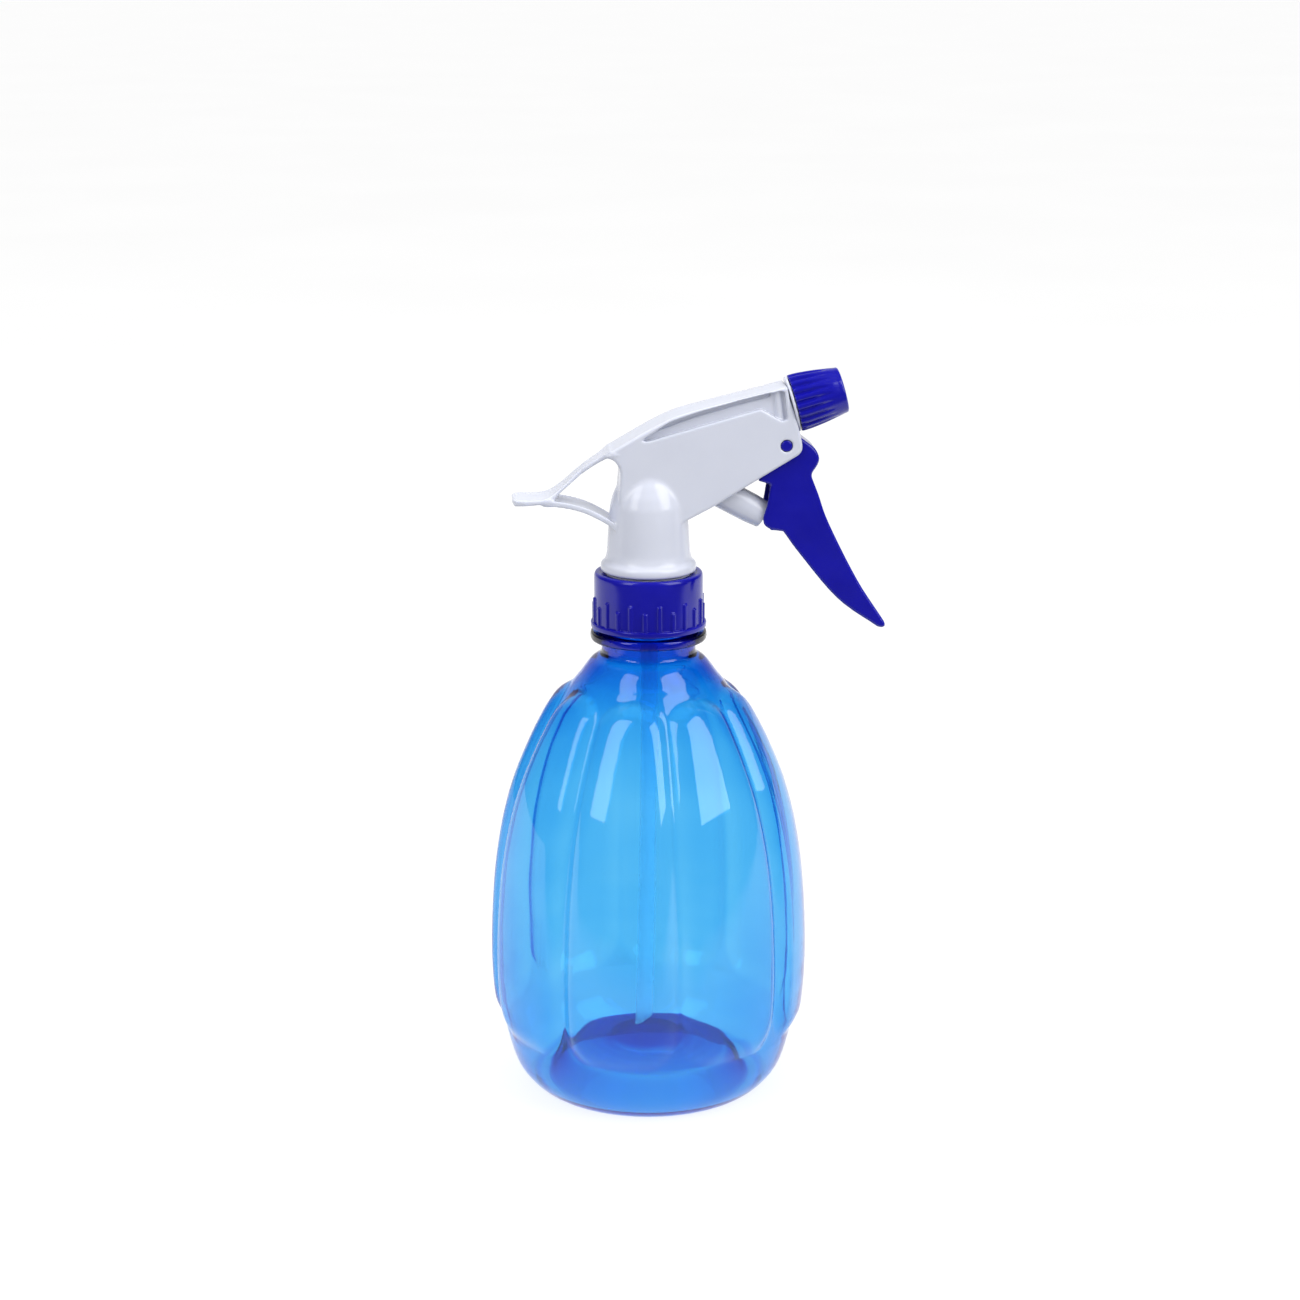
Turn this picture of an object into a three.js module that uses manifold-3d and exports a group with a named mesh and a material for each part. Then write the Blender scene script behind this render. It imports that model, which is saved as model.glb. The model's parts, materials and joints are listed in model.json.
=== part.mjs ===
// A hand trigger sprayer on a blown, lobed bottle. Millimetres, +Z up, the nozzle looks along +X.
import * as THREE from 'three';
import { mergeVertices } from 'three/addons/utils/BufferGeometryUtils.js';
import Module from 'manifold-3d';

const wasm = await Module();
wasm.setup();

// ---- driving dimensions ----

const GAP = 0.3;
const AXIS_X = -10.5;

const BOTTLE = { wall: 0.8, thickWall: 1.12, footFlat: 28, foot: 32.6 };
const GROOVE = { count: 8, depth: 2.4, half: 4.2, firstDegrees: 7.5 };
const LOBE = { bottom: 17, bottomRise: 7, top: 119.6, topFall: 5.6 };
const NECK = { bore: 10.9, root: 12.4, below: 13.3, start: 128.2, lip: 145.8 };
const NECK_RING = { radius: 16.5, low: 132.2, high: 134.8, chamfer: 0.6 };
const THREAD = { pitch: 3.18, turns: 1.4, start: 139, radius: 12.5, section: 1.1 };

const CAP = { bottom: 135.9, top: 151.7, body: 15.35, band: 16.35, bandHeight: 1.6, bore: 14.2, hole: 12.4 };
const CAP_LEDGE = { low: 149.2, high: 150.8 };
const RIB = { count: 24, width: 1.25, proud: 0.55, tall: 6.7, short: 4.4 };

const GASKET = { inner: 8, outer: 13, low: NECK.lip + GAP, thick: 1.4 };
const FLANGE = { radius: 13.2, low: GASKET.low + GASKET.thick + GAP, thick: 1.1 };

const TUBE = { outer: 2.5, inner: 1.8, top: 151, tip: 14.8, drift: -1.5 };
const RETAINER = { low: 139, step: 150, seat: 151.3, web: 2, top: 163.7 };
const RETAINER_RADIUS = { shank: 3.9, plug: 4.5, chamber: 2.6 };
const INTAKE_BALL = { radius: 2, seatHole: 1.2 };

const PUMP = { stage: 7.6, stageTop: 164.5, post: 5.4, postTop: 182.4, ductTop: 180.5 };
const STEM = { bottom: 151.9, collarTop: 155, apex: 181 };
const STEM_RADIUS = { collar: 13.5, foot: 11.7, shoulder: 11.1, inner: 9.9 };
const HEAD = { half: 7, pocketHalf: 5.7, slotHalf: 3.75, recessHalf: 4.9, leafHalf: 6.2, waist: 3.3 };

const BARREL = { rise: 15.36, height: 187.63, outer: 3.4, bore: 1.3, chamber: 2.35, front: 41 };
const PISTON = { slope: 28.4, endX: 32.3, endZ: 167.3, radius: 4.2, bore: 4.5, cylinder: 5.5 };
const CYLINDER = { mouth: 18, end: 34.2 };

const PIVOT = { x: 37.9, z: 187.95, pin: 1.6, hole: 1.7 };
const TRIGGER = { half: 5.5, inner: 4.5, boss: 3.2 };

const NOZZLE = { back: 42.2, length: 14.1, rear: 8.1, front: 6.45, bore: 5.3, skirt: 7, orifice: 0.5 };

const FINE = 48;
const MEDIUM = 24;
const COARSE = 16;

// ---- materials ----

function plastic(colour, roughness, opacity = 1) {
  return new THREE.MeshStandardMaterial({
    color: colour, roughness, metalness: 0, opacity, transparent: opacity < 1,
  });
}

const bottleBlue = plastic(0x2f9cf0, 0.08, 0.4);
const partBlue = plastic(0x1a1aa5, 0.3);
const partWhite = plastic(0xe6e9f2, 0.35);
const tubeWhite = plastic(0xdfe9f2, 0.4, 0.6);
const sealGrey = plastic(0xd8d8d2, 0.6);
const steel = new THREE.MeshStandardMaterial({ color: 0xb9bcc2, roughness: 0.25, metalness: 1 });

// ---- geometry helpers ----

const UP = new THREE.Vector3(0, 0, 1);

function v2(x, y) {
  return new THREE.Vector2(x, y);
}

function solid(geometry) {
  const bare = geometry.clone();
  bare.deleteAttribute('normal');
  bare.deleteAttribute('uv');
  const welded = mergeVertices(bare, 1e-4);
  const index = welded.index.array;
  const kept = [];
  for (let i = 0; i < index.length; i += 3) {
    const [a, b, c] = [index[i], index[i + 1], index[i + 2]];
    if (a !== b && b !== c && c !== a) kept.push(a, b, c);
  }
  const positions = new Float32Array(welded.attributes.position.array);
  const build = (order) => new wasm.Manifold(new wasm.Mesh({
    numProp: 3, vertProperties: positions, triVerts: new Uint32Array(order),
  }));
  const first = build(kept);
  return first.volume() > 0 ? first : build(kept.reverse());
}

function geometryOf(body) {
  const mesh = body.getMesh();
  const geometry = new THREE.BufferGeometry();
  geometry.setAttribute('position', new THREE.BufferAttribute(new Float32Array(mesh.vertProperties), 3));
  geometry.setIndex(new THREE.BufferAttribute(new Uint32Array(mesh.triVerts), 1));
  geometry.computeVertexNormals();
  return geometry;
}

function join(bodies) {
  return bodies.reduce((sum, body) => sum.add(body));
}

// A profile of [radius, height] pairs turned about Z.
function turned(profile, segments = MEDIUM) {
  const geometry = new THREE.LatheGeometry(profile.map(([r, z]) => v2(r, z)), segments);
  return geometry.rotateX(Math.PI / 2);
}

function rod(radius, low, high, segments = MEDIUM) {
  return turned([[0, low], [radius, low], [radius, high], [0, high]], segments);
}

function ring(inner, outer, low, high, segments = MEDIUM) {
  return turned([[inner, low], [outer, low], [outer, high], [inner, high], [inner, low]], segments);
}

// An outline in the XZ plane, given depth in Y about Y = 0.
function slab(shape, half, curveSegments = 6) {
  const geometry = new THREE.ExtrudeGeometry(shape, {
    depth: 2 * half, bevelEnabled: false, curveSegments,
  });
  return geometry.translate(0, 0, -half).rotateX(Math.PI / 2);
}

function polygon(pairs) {
  return new THREE.Shape(pairs.map(([x, z]) => v2(x, z)));
}

function spline(pairs, steps) {
  return new THREE.SplineCurve(pairs.map(([x, z]) => v2(x, z))).getPoints(steps);
}

function coil(radius, wire, low, high, turns) {
  class Helix extends THREE.Curve {
    getPoint(t, target = new THREE.Vector3()) {
      const angle = 2 * Math.PI * turns * t;
      return target.set(radius * Math.cos(angle), radius * Math.sin(angle), low + (high - low) * t);
    }
  }
  const section = new THREE.Shape();
  section.absarc(0, 0, wire, 0, 2 * Math.PI, false);
  return new THREE.ExtrudeGeometry(section, {
    steps: Math.round(turns * 10), curveSegments: 2, bevelEnabled: false, extrudePath: new Helix(),
  });
}

// The frame whose Z runs along a direction through an origin.
function frameOn(origin, direction) {
  const turn = new THREE.Quaternion().setFromUnitVectors(UP, direction);
  return new THREE.Matrix4().compose(origin, turn, new THREE.Vector3(1, 1, 1));
}

function node(name, shape, material) {
  const geometry = shape.isBufferGeometry ? geometryOf(solid(shape)) : geometryOf(shape);
  const mesh = new THREE.Mesh(geometry, material);
  mesh.name = name;
  return mesh;
}

// ---- the two slanted lines of the head ----

const barrelAngle = THREE.MathUtils.degToRad(BARREL.rise);
const barrelAxis = new THREE.Vector3(Math.cos(barrelAngle), 0, Math.sin(barrelAngle));
const onBarrel = frameOn(new THREE.Vector3(0, 0, BARREL.height), barrelAxis);

const pistonAngle = THREE.MathUtils.degToRad(PISTON.slope);
const pistonAxis = new THREE.Vector3(-Math.cos(pistonAngle), 0, Math.sin(pistonAngle));
const onPiston = frameOn(new THREE.Vector3(PISTON.endX, 0, PISTON.endZ), pistonAxis);

// ---- bottle ----

function outerWall() {
  const foot = [[BOTTLE.foot, 0], [36.2, 3], [39.1, 7.5], [40.9, 14], [41.75, LOBE.bottom]];
  const body = [
    [41.75, LOBE.bottom], [44.1, 24], [45.6, 38], [45.2, 53], [43.2, 73],
    [38.5, 92], [31.5, 108], [28.7, 113], [21.5, LOBE.top],
  ];
  const shoulder = [[21.5, LOBE.top], [16.6, 126], [NECK.below, NECK.start]];
  return [...spline(foot, 4), ...spline(body, 12).slice(1), ...spline(shoulder, 2).slice(1)];
}

// Depth of the grooves between the lobes at an angle and a height.
function grooveAt(angle, z, radius) {
  const step = 2 * Math.PI / GROOVE.count;
  const first = THREE.MathUtils.degToRad(GROOVE.firstDegrees) - Math.PI / 2;
  const turn = (angle - first) / step;
  const arc = Math.abs(turn - Math.round(turn)) * step * radius;
  const across = 1 - THREE.MathUtils.smoothstep(arc, 0, GROOVE.half);
  const rise = THREE.MathUtils.smoothstep(z, LOBE.bottom, LOBE.bottom + LOBE.bottomRise);
  const fall = THREE.MathUtils.smoothstep(z, LOBE.top - LOBE.topFall, LOBE.top);
  return GROOVE.depth * across * rise * (1 - fall);
}

function sinkGrooves(geometry) {
  const positions = geometry.attributes.position;
  for (let i = 0; i < positions.count; i += 1) {
    const [x, y, z] = [positions.getX(i), positions.getY(i), positions.getZ(i)];
    const radius = Math.hypot(x, y);
    const angle = Math.atan2(y, x);
    const sunk = radius > NECK_RING.radius ? radius - grooveAt(angle, z, radius) : radius;
    if (radius > 0) positions.setXY(i, x * sunk / radius, y * sunk / radius);
  }
  return geometry;
}

function makeBottle() {
  const outside = outerWall().map((p) => [p.x, p.y]);
  const wallAt = (z) => (z > LOBE.top - LOBE.topFall ? BOTTLE.thickWall : BOTTLE.wall);
  const hollow = outside.filter(([, z]) => z > 1.5 && z < 127);
  const inside = hollow.map(([r, z]) => [r - wallAt(z), z]).reverse();
  const { radius, low, high, chamfer } = NECK_RING;
  const pushUpOutside = [[0, 10.6], [11, 9.8], [22, 7.2], [24.6, 4.6], [BOTTLE.footFlat, 0]];
  const finish = [
    [NECK.below, low], [radius - chamfer, low], [radius, low + chamfer], [radius, high - chamfer],
    [radius - chamfer, high], [13.4, high], [13.4, 136.2], [13.7, 136.9], [13.7, 137.8],
    [NECK.root, 138.4], [NECK.root, NECK.lip - 0.4], [NECK.root - 0.4, NECK.lip],
    [NECK.bore, NECK.lip], [NECK.bore, 128.6],
  ];
  const pushUpInside = [[29.6, 1.6], [25.6, 6], [22.6, 8.4], [11.2, 11], [0, 11.8]];
  const profile = [...pushUpOutside, ...outside, ...finish, ...inside, ...pushUpInside];
  const shell = solid(sinkGrooves(turned(profile, FINE)));
  return shell.add(makeThread());
}

function makeThread() {
  const { radius, section, start, pitch, turns } = THREAD;
  const thread = coil(radius, section, start, start + pitch * turns, turns);
  const bore = rod(NECK.bore, NECK_RING.high, NECK.lip + 1, FINE);
  return solid(thread).subtract(solid(bore));
}

// ---- closure ----

function makeCap() {
  const { bottom, top, body, band, bandHeight, bore, hole } = CAP;
  const profile = [
    [bore, bottom], [band - 0.3, bottom], [band, bottom + 0.4], [band, bottom + bandHeight],
    [body, bottom + bandHeight], [body, top - 1.4], [body - 0.4, top - 0.4], [body - 1.1, top],
    [13.8, top - 0.4], [13.6, CAP_LEDGE.high], [hole, CAP_LEDGE.high], [hole, CAP_LEDGE.low],
    [bore, CAP_LEDGE.low], [bore, bottom],
  ];
  const ribs = [];
  for (let i = 0; i < RIB.count; i += 1) {
    const height = i % 2 ? RIB.short : RIB.tall;
    const rib = new THREE.BoxGeometry(2 * RIB.proud, RIB.width, height);
    rib.translate(body, 0, bottom + bandHeight + height / 2 - 0.2);
    ribs.push(solid(rib.rotateZ(2 * Math.PI * (i + 0.5) / RIB.count)));
  }
  return join([solid(turned(profile, FINE)), ...ribs]);
}

function makeGasket() {
  return ring(GASKET.inner, GASKET.outer, GASKET.low, GASKET.low + GASKET.thick);
}

// ---- intake side ----

function makeDipTube() {
  const section = new THREE.Shape();
  section.absarc(0, 0, TUBE.outer, 0, 2 * Math.PI, false);
  const hole = new THREE.Path();
  hole.absarc(0, 0, TUBE.inner, 0, 2 * Math.PI, true);
  section.holes.push(hole);
  const path = new THREE.QuadraticBezierCurve3(
    new THREE.Vector3(0, 0, TUBE.top),
    new THREE.Vector3(0.9, 0, 80),
    new THREE.Vector3(TUBE.drift, 0, TUBE.tip - 1.5),
  );
  const tube = new THREE.ExtrudeGeometry(section, {
    steps: 10, curveSegments: 8, bevelEnabled: false, extrudePath: path,
  });
  const slant = polygon([[-6, TUBE.tip - 1.3], [4, TUBE.tip + 5.2], [4, 0], [-6, 0]]);
  return solid(tube).subtract(solid(slab(slant, 5)));
}

function makeRetainer() {
  const { low, step, seat, web, top } = RETAINER;
  const { shank, plug, chamber } = RETAINER_RADIUS;
  const socket = TUBE.outer + 0.2;
  return turned([
    [socket, low], [shank, low], [shank, step], [plug, step], [plug, top], [chamber, top],
    [chamber, seat + web], [INTAKE_BALL.seatHole, seat + web], [INTAKE_BALL.seatHole, seat],
    [socket, seat], [socket, low],
  ]);
}

const intakeBallHeight = RETAINER.seat + RETAINER.web + 0.2
  + Math.sqrt(INTAKE_BALL.radius ** 2 - INTAKE_BALL.seatHole ** 2);

function makeBallStop() {
  return ring(1.1, RETAINER_RADIUS.chamber - 0.15, intakeBallHeight + 3.8, intakeBallHeight + 5.4, COARSE);
}

// ---- pump body ----

function makePumpBody() {
  const flangeTop = FLANGE.low + FLANGE.thick;
  const column = [
    rod(FLANGE.radius, FLANGE.low, flangeTop, FINE),
    rod(CAP.hole - 0.5, flangeTop - 0.1, CAP_LEDGE.high + 0.7, FINE),
    rod(PUMP.stage, flangeTop - 0.1, PUMP.stageTop),
    rod(PUMP.post, PUMP.stageTop - 0.5, PUMP.postTop),
  ];
  const cylinder = rod(PISTON.cylinder, CYLINDER.mouth, CYLINDER.end + 1.4).applyMatrix4(onPiston);
  const barrelParts = [
    rod(BARREL.outer, 1.5, 42.5),
    rod(NOZZLE.rear - 0.2, BARREL.front + 0.15, NOZZLE.back - 0.25, FINE),
    rod(5, 41.5, 45.7),
    rod(3.9, 45, 51.4),
  ];
  const barrel = barrelParts.map((part) => part.applyMatrix4(onBarrel));
  const cuts = [
    rod(RETAINER_RADIUS.plug + 0.2, FLANGE.low - 1, RETAINER.top + GAP),
    rod(1.5, RETAINER.top, PUMP.ductTop, COARSE).translate(0.6, 0, 0),
    rod(PISTON.bore, CYLINDER.mouth - 2, CYLINDER.end).applyMatrix4(onPiston),
    rod(BARREL.bore, 3.5, 13, COARSE).applyMatrix4(onBarrel),
    rod(BARREL.chamber, 12.3, 53, COARSE).applyMatrix4(onBarrel),
  ];
  const body = join([...column, cylinder, ...barrel].map(solid));
  return body.subtract(join(cuts.map(solid)));
}

// ---- shroud ----

const crown = [[-11.0, 186.8], [0.5, 193.4], [8.3, 196.9], [20.1, 200], [32, 202.9], [37.9, 204.4]];

function headOutline() {
  const lower = [
    [41.8, 190], [42.5, 187], [41.8, 185.6], [26.7, 176.5], [17.8, 171.1], [13.3, 168.9], [9, 166.5],
  ];
  const back = [[-8, 166.5], [-8.4, 178], [-8, 181], [-9.4, 183.8], [-11.8, 185]];
  const shape = new THREE.Shape(spline(crown, 12));
  [...lower, ...back].forEach(([x, z]) => shape.lineTo(x, z));
  return shape;
}

function makeStem() {
  const { bottom, collarTop, apex } = STEM;
  const { collar, foot, shoulder, inner } = STEM_RADIUS;
  const outside = [
    [inner, bottom], [collar - 0.9, bottom], [collar, bottom + 1], [collar, bottom + 1.8],
    [collar - 0.8, collarTop - 0.2], [foot, 156.4], [shoulder, 167], [10.7, 170.8], [9.9, 173.7],
    [8.4, 177], [7, 179],
  ];
  const inside = [[4, apex - 1.6], [6.2, 177.6], [8.2, 173], [9.4, 168.5], [inner, 165], [inner, bottom]];
  return turned([...outside, [3.5, apex], [0, apex + 0.8], [0, apex - 0.6], ...inside], FINE);
}

function makeTail() {
  const { half, waist } = HEAD;
  const top = spline([
    [-38.3, 173], [-37, 173.4], [-29.2, 173.6], [-24.4, 176.6], [-18.7, 181.7], [-11, 186.8],
  ], 12);
  const strip = new THREE.Shape([...top, v2(-9, 188), v2(-9.4, 184.2)]);
  [[-11.8, 185], [-16.4, 182], [-19, 180.1], [-25.2, 174.9], [-26.5, 172], [-37.8, 172.5]]
    .forEach(([x, z]) => strip.lineTo(x, z));
  const plan = new THREE.Shape();
  plan.moveTo(-38.3, 0);
  plan.bezierCurveTo(-38.3, half, -37, half, -33, half);
  plan.bezierCurveTo(-25, half, -25, waist, -19, waist);
  plan.bezierCurveTo(-14, waist, -14, half, -8, half);
  plan.lineTo(-8, -half);
  plan.bezierCurveTo(-14, -half, -14, -waist, -19, -waist);
  plan.bezierCurveTo(-25, -waist, -25, -half, -33, -half);
  plan.bezierCurveTo(-37, -half, -38.3, -half, -38.3, 0);
  const width = new THREE.ExtrudeGeometry(plan, { depth: 40, bevelEnabled: false, curveSegments: 5 });
  const leaf = polygon([
    [-29, 173.2], [-24.4, 172.7], [-18.2, 170.8], [-10.5, 167], [-9.2, 164.6], [-15, 168.7], [-20.5, 170.9],
    [-29, 172],
  ]);
  const band = solid(slab(strip, HEAD.half)).intersect(solid(width.translate(0, 0, 160)));
  return band.add(solid(slab(leaf, HEAD.leafHalf)));
}

function makeShroud() {
  const outside = join([solid(slab(headOutline(), HEAD.half)), makeTail(), solid(makeStem())]);
  const pocket = polygon([
    [-6.6, 168.2], [-6.6, 181.5], [-2.6, 186.8], [1, 188.2], [30.3, 196.6], [36.4, 193.4], [46, 194.5],
    [46, 178], [30, 168], [14, 163], [11.9, 166.4], [9.6, 168.2],
  ]);
  const slot = polygon([
    [-0.6, 184], [-0.6, 190.6], [0.2, 191.9], [8.6, 195.5], [20.3, 198.7], [31, 201.3], [45, 205], [45, 186],
  ]);
  const recess = polygon([
    [-2.3, 189.9], [-0.6, 189.7], [30.6, 198.3], [36.5, 194.9], [38, 195.2], [37.1, 203], [36.3, 203],
    [25, 200.2], [13.7, 197.3], [5.4, 194.6], [1.3, 192.1],
  ]);
  const bothRecesses = solid(slab(recess, HEAD.half + 1)).subtract(solid(slab(recess, HEAD.recessHalf)));
  const hole = rod(PIVOT.hole, -HEAD.half - 1, HEAD.half + 1).rotateX(Math.PI / 2);
  const { inner } = STEM_RADIUS;
  const stemBore = [[0, STEM.bottom - 1], [inner, STEM.bottom - 1], [inner, 165], [5.7, 169], [0, 169]];
  const cuts = [
    solid(slab(pocket, HEAD.pocketHalf)), solid(slab(slot, HEAD.slotHalf)), bothRecesses,
    solid(hole.translate(PIVOT.x, 0, PIVOT.z)),
    solid(turned(stemBore, FINE)),
  ];
  return outside.subtract(join(cuts));
}

// ---- trigger ----

function makeTrigger() {
  const front = [[47.2, 173.9], [50.3, 165.5], [58.6, 149.2], [66.3, 137.2]];
  const rear = [[64.6, 135.7], [53, 143.9], [42.2, 156.8], [37.4, 163.6]];
  const cheek = polygon([
    [40.4, 190.6], [42.3, 189.7], [46.2, 186.8], [47.4, 184.1], [46.7, 182.1], [45, 179.6],
  ]);
  spline(front, 8).forEach((p) => cheek.lineTo(p.x, p.y));
  cheek.lineTo(66.7, 136);
  cheek.lineTo(66, 135.3);
  spline(rear, 8).forEach((p) => cheek.lineTo(p.x, p.y));
  const pistonSide = [
    [33.4, 164.4], [32, 165.6], [31.7, 167.3], [32.8, 171.1], [33.6, 176.8], [30.2, 177.9], [33.4, 184.4],
    [36, 190.4],
  ];
  pistonSide.forEach(([x, z]) => cheek.lineTo(x, z));
  const channel = polygon([
    [30, 192], [36, 185.5], [42, 183], [43, 179], [45, 173.4], [48.2, 165], [55.4, 150.6], [60.4, 142.4],
    [52, 138], [20, 160],
  ]);
  const web = polygon([[34, 163.9], [36.5, 163.9], [39.5, 180.5], [36, 183], [35, 176.5]]);
  const boss = rod(TRIGGER.boss, -TRIGGER.half, TRIGGER.half).rotateX(Math.PI / 2);
  const pin = rod(PIVOT.pin, -HEAD.half + 0.1, HEAD.half - 0.1).rotateX(Math.PI / 2);
  return join([
    solid(slab(cheek, TRIGGER.half)).subtract(solid(slab(channel, TRIGGER.inner))),
    solid(slab(web, TRIGGER.inner + 0.4)),
    solid(boss.translate(PIVOT.x, 0, PIVOT.z)),
    solid(pin.translate(PIVOT.x, 0, PIVOT.z)),
  ]);
}

// ---- pieces on the piston line: Z is the distance in from the piston's outer end ----

const VENT_GROOVE = { low: 19.2, high: 20.4 };
const PISTON_GROOVE = { low: 22.2, high: 23.6 };

function makePiston() {
  const { radius } = PISTON;
  const root = radius - 0.8;
  return turned([
    [0, 0], [radius - 0.9, 0], [radius, 0.9], [radius, VENT_GROOVE.low], [root, VENT_GROOVE.low],
    [root, VENT_GROOVE.high], [radius, VENT_GROOVE.high], [radius, PISTON_GROOVE.low],
    [root, PISTON_GROOVE.low], [root, PISTON_GROOVE.high], [radius, PISTON_GROOVE.high],
    [radius, 25.4], [2.9, 25.4], [2.9, 8], [0, 8],
  ]);
}

function makePistonRing(groove) {
  return ring(PISTON.radius - 0.7, PISTON.bore - 0.06, groove.low + 0.1, groove.high - 0.1);
}

function makePistonGuide() {
  return ring(PISTON.radius + 0.12, PISTON.cylinder - 0.1, CYLINDER.mouth - 1.6, CYLINDER.mouth - 0.3);
}

function makeReturnSpring() {
  return coil(2.25, 0.4, 8.8, CYLINDER.end - 0.7, 9);
}

// ---- pieces on the barrel line: Z is the distance along the barrel from the bottle's axis ----

const OUTLET_BALL = { radius: 1.75, at: 13.75 };
const SPINNER = { back: 25, step: 47, front: 51.8, stalk: 1.2, head: 2.15 };

function makeOutletSpring() {
  return coil(1.65, 0.25, OUTLET_BALL.at + 2.3, SPINNER.back - 0.4, 6);
}

function makeSpinner() {
  const { back, step, front, stalk, head } = SPINNER;
  return turned([[0, back], [stalk, back], [stalk, step], [head, step], [head, front], [0, front]], COARSE);
}

function makeNozzle() {
  const { back, length, rear, front, bore, skirt, orifice } = NOZZLE;
  const tip = back + length;
  const face = SPINNER.front + 0.6;
  return turned([
    [orifice, tip], [front - 1, tip], [front - 0.25, tip - 0.3], [front, tip - 1.1],
    [front + 0.75, back + length / 2], [rear, back + 0.6], [rear - 0.2, back],
    [skirt, back], [skirt, back + 2.2], [bore, back + 2.6], [bore, face], [orifice, face], [orifice, tip],
  ], 36);
}

function makeNozzleSeal() {
  return ring(4.1, 5.15, 46.2, 47.4);
}

// ---- assembly ----

function lineGroup(matrix, meshes) {
  const group = new THREE.Group();
  group.applyMatrix4(matrix);
  group.add(...meshes);
  return group;
}

const intakeBall = node('intake_ball', new THREE.SphereGeometry(INTAKE_BALL.radius, 12, 8), steel);
intakeBall.position.z = intakeBallHeight;
const outletBall = node('outlet_ball', new THREE.SphereGeometry(OUTLET_BALL.radius, 12, 8), steel);
outletBall.position.z = OUTLET_BALL.at;

const assembly = new THREE.Group();
assembly.add(
  node('bottle', makeBottle(), bottleBlue),
  node('screw_cap', makeCap(), partBlue),
  node('neck_gasket', makeGasket(), sealGrey),
  node('dip_tube', makeDipTube(), tubeWhite),
  node('tube_retainer', makeRetainer(), partWhite),
  intakeBall,
  node('ball_stop', makeBallStop(), partWhite),
  node('pump_body', makePumpBody(), partWhite),
  node('shroud', makeShroud(), partWhite),
  node('trigger', makeTrigger(), partBlue),
  lineGroup(onPiston, [
    node('piston', makePiston(), partWhite),
    node('vent_seal', makePistonRing(VENT_GROOVE), sealGrey),
    node('piston_seal', makePistonRing(PISTON_GROOVE), sealGrey),
    node('piston_guide', makePistonGuide(), partWhite),
    node('return_spring', makeReturnSpring(), steel),
  ]),
  lineGroup(onBarrel, [
    outletBall,
    node('outlet_spring', makeOutletSpring(), steel),
    node('spinner', makeSpinner(), partWhite),
    node('nozzle_seal', makeNozzleSeal(), sealGrey),
    node('nozzle_cap', makeNozzle(), partBlue),
  ]),
);
assembly.position.x = AXIS_X;

const sprayBottle = new THREE.Group();
sprayBottle.add(assembly);

export default sprayBottle;
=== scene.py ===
"""A trigger sprayer on a clear blue blown bottle: its looks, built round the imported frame.

Shapes are worked out in millimetres about the bottle's own axis, and placed in the frame in metres.
"""
import json
import math

import bmesh
import bpy
import numpy as np
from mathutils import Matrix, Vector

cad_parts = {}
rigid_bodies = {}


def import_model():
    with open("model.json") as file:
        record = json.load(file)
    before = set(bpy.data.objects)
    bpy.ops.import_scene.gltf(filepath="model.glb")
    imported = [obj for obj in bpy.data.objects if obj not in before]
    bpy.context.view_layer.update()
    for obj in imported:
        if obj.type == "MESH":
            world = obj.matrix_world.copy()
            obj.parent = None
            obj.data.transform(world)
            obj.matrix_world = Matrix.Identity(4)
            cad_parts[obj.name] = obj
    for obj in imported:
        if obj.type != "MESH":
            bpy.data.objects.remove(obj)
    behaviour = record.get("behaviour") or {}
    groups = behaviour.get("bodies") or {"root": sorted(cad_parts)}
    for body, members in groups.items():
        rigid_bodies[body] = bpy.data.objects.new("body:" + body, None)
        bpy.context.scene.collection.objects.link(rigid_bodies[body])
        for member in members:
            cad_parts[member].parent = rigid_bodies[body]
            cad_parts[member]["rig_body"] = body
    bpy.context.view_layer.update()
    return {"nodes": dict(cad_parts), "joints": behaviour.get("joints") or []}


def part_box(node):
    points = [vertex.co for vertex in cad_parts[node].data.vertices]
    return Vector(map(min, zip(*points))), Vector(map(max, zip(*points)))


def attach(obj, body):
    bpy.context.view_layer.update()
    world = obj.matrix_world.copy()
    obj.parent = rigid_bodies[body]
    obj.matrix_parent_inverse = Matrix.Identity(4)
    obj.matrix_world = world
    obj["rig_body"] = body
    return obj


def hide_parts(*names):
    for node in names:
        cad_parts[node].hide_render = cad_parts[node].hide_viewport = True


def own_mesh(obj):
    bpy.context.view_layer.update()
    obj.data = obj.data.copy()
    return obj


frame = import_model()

import openvdb
from mathutils import Matrix, Vector

# ---- places read from the frame, in millimetres ----

MM = 0.001
JOINTS = {joint["name"]: joint for joint in frame["joints"]}
AXIS_X = sum(corner.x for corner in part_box("bottle")) / 2


def heights(node):
    """The lowest and highest Z of a CAD node."""
    low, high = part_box(node)
    return low.z / MM, high.z / MM


def line_frame(joint, distance_back, point):
    """The frame whose Z runs along a sliding joint, starting a distance back from a point on its line."""
    axis = Vector(JOINTS[joint]["axis"])
    turn = Vector((0, 0, 1)).rotation_difference(axis).to_matrix().to_4x4()
    return Matrix.Translation(Vector(point) - axis * distance_back) @ turn


LIP = heights("bottle")[1]
CAP_LOW, CAP_TOP = heights("screw_cap")
COLLAR_LOW = heights("shroud")[0]
NOZZLE_LINE = JOINTS["nozzle_turn"]["pos_m"]
SEAL_ALONG = 48.0
BARREL = line_frame(
    "nozzle_travel", SEAL_ALONG, ((NOZZLE_LINE[0] - AXIS_X) / MM, 0, NOZZLE_LINE[2] / MM)
)
PISTON_END = (32.3, 0, 167.3)
PISTON = line_frame("piston_stroke", 0, PISTON_END)
PIVOT = JOINTS["trigger_pull"]["pos_m"]
PIVOT_X, PIVOT_Z = (PIVOT[0] - AXIS_X) / MM, PIVOT[2] / MM

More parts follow.
